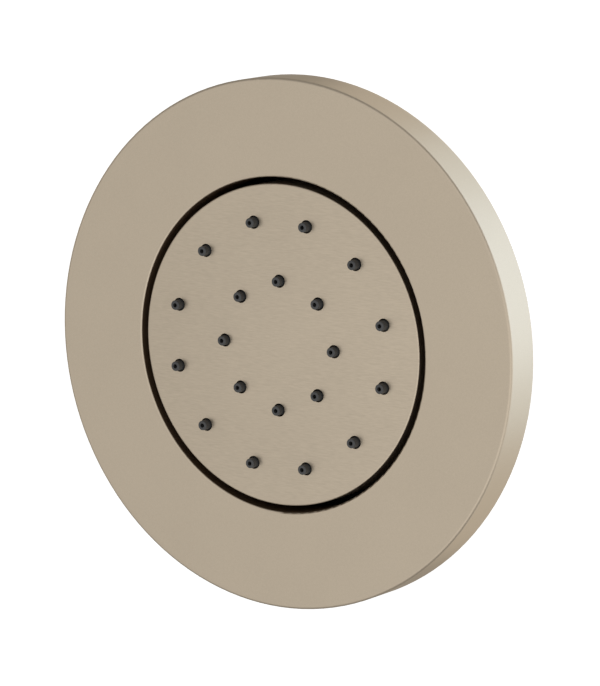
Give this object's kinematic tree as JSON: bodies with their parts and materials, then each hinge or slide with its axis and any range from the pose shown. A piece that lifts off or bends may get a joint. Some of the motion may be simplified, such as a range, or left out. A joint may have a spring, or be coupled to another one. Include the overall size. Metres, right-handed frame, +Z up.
{
  "type": "shower body jet",
  "caption": "Round flush wall-mounted shower body jet: wide flat trim ring round a swivelling spray face with small silicone nozzles, on a threaded inlet behind the wall.",
  "frame": {"origin": "centre of the wall plane, on the jet's axis, where the gasket meets the finished wall", "axes": "+Y along the jet's axis into the wall, the spray leaves towards -Y, +Z up"},
  "size_m": [0.12, 0.0621, 0.12],
  "materials": {
    "brushed_nickel": "warm brushed nickel finish on brass",
    "nozzle_silicone": "matt dark grey silicone",
    "black_moulding": "moulded black plastic with a light grain",
    "grey_moulding": "glass-filled grey plastic",
    "acetal": "natural white acetal",
    "turned_brass": "bare turned brass",
    "spring_steel": "bright spring steel",
    "black_rubber": "smooth black rubber",
    "gasket_foam": "closed-cell dark foam",
    "fibre": "red-brown sealing washer",
    "strainer_plastic": "pale moulded plastic"
  },
  "bodies": {
    "wall_unit": {"escutcheon": "brushed_nickel", "trim_o_ring": "black_rubber", "wall_housing": "black_moulding", "wall_gasket": "gasket_foam", "ball_nipple": "turned_brass", "nipple_washer": "fibre", "lock_washer": "spring_steel", "lock_nut": "turned_brass", "flow_regulator": "acetal", "regulator_o_ring": "black_rubber", "inlet_strainer": "strainer_plastic"},
    "tilt_ring": {"split_ring": "acetal"},
    "seal_ring": {"ball_seal": "black_rubber"},
    "spray_head": {"face_plate": "brushed_nickel", "nozzle_mat": "nozzle_silicone", "backing_plate": "grey_moulding", "spray_chamber": "grey_moulding", "chamber_o_ring": "black_rubber", "retaining_ring": "spring_steel", "swivel_collar": "turned_brass"}
  },
  "joints": [
    {"name": "tilt_up_down", "type": "hinge", "parent": "wall_unit", "child": "tilt_ring", "pos_m": [0, 0.004, 0], "axis": [1, 0, 0], "range_deg": [-4.5, 4.5]},
    {"name": "tilt_sideways", "type": "hinge", "parent": "tilt_ring", "child": "seal_ring", "pos_m": [0, 0.004, 0], "axis": [0, 0, 1], "range_deg": [-4.5, 4.5]},
    {"name": "spin", "type": "hinge", "parent": "seal_ring", "child": "spray_head", "pos_m": [0, 0.004, 0], "axis": [0, 1, 0], "continuous": true}
  ]
}
